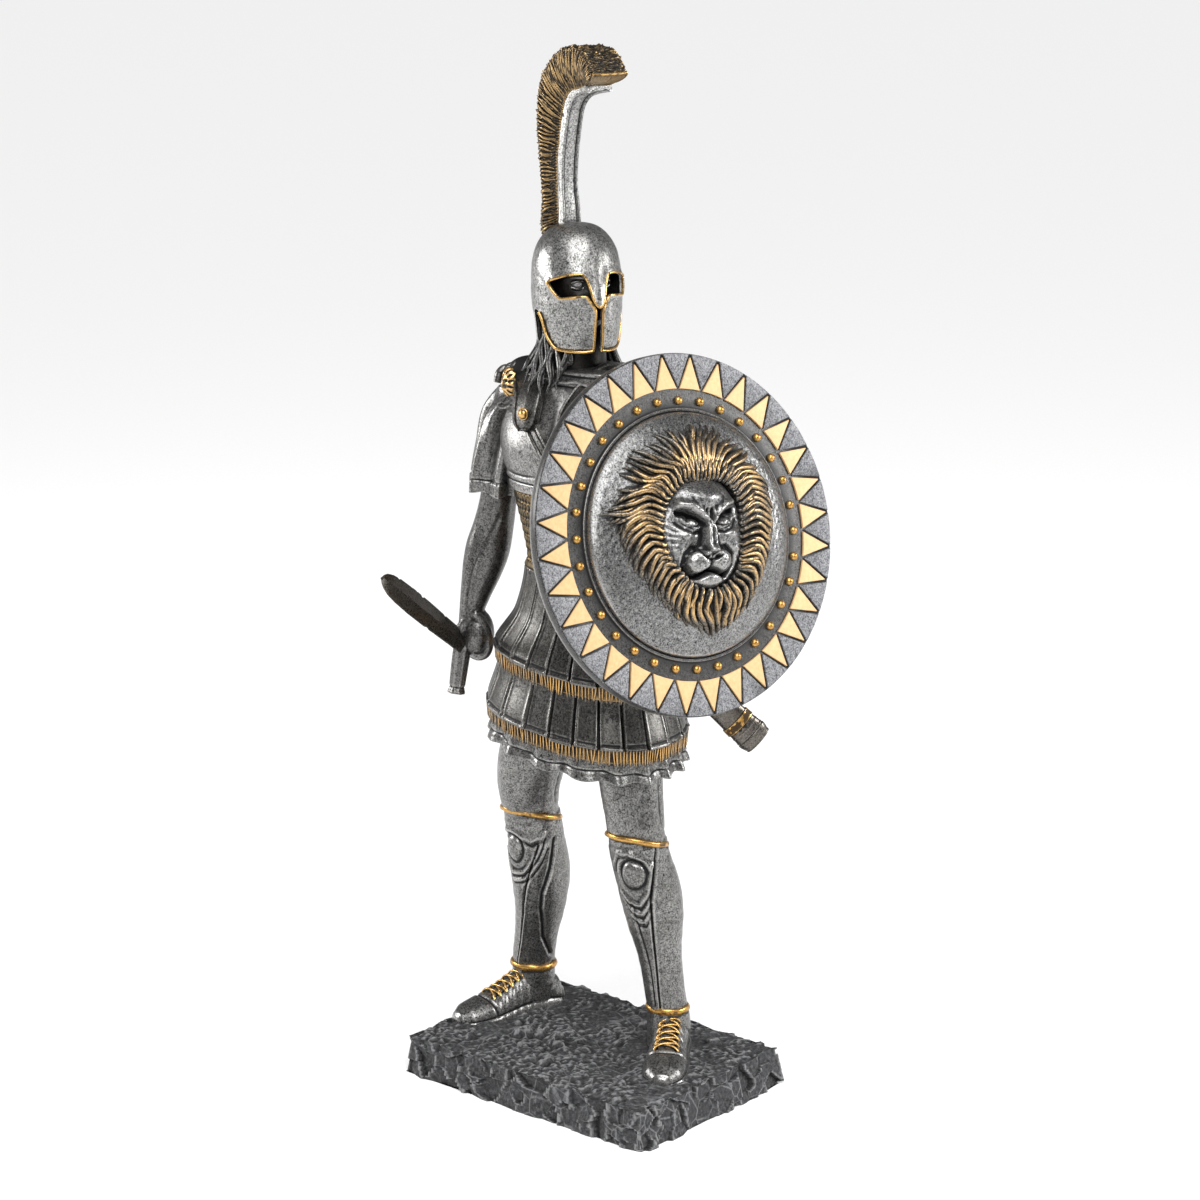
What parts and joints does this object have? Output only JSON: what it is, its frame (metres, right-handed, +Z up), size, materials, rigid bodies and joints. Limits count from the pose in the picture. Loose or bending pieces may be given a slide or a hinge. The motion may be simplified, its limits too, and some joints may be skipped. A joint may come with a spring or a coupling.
{
  "type": "greek hoplite statue",
  "caption": "Small cast figure of a Greek hoplite in crested helmet and greaves, with a lion shield and a short sword, standing on a rough stone-look plinth.",
  "frame": {"origin": "middle of the plinth's underside", "axes": "+Z up through the crest, -Y the way the chest and toes face, +X to the figure's left, the shield side"},
  "size_m": [0.1126, 0.1067, 0.3296],
  "materials": {
    "plinth_stone": "charcoal cast stone with pale dry-brushed edges",
    "antique_pewter": "antique pewter paint with black wash in the hollows",
    "shield_pewter": "bright pewter paint with incised black lines",
    "gunmetal": "dark gunmetal paint",
    "gold_trim": "antique gold paint",
    "cream_gold": "pale gold paint",
    "dark_hair": "black-brown with gold dry-brushed strands"
  },
  "bodies": {
    "root": {"plinth": "plinth_stone", "figure": "antique_pewter", "shield": "shield_pewter", "sword_blade": "gunmetal"}
  },
  "joints": []
}
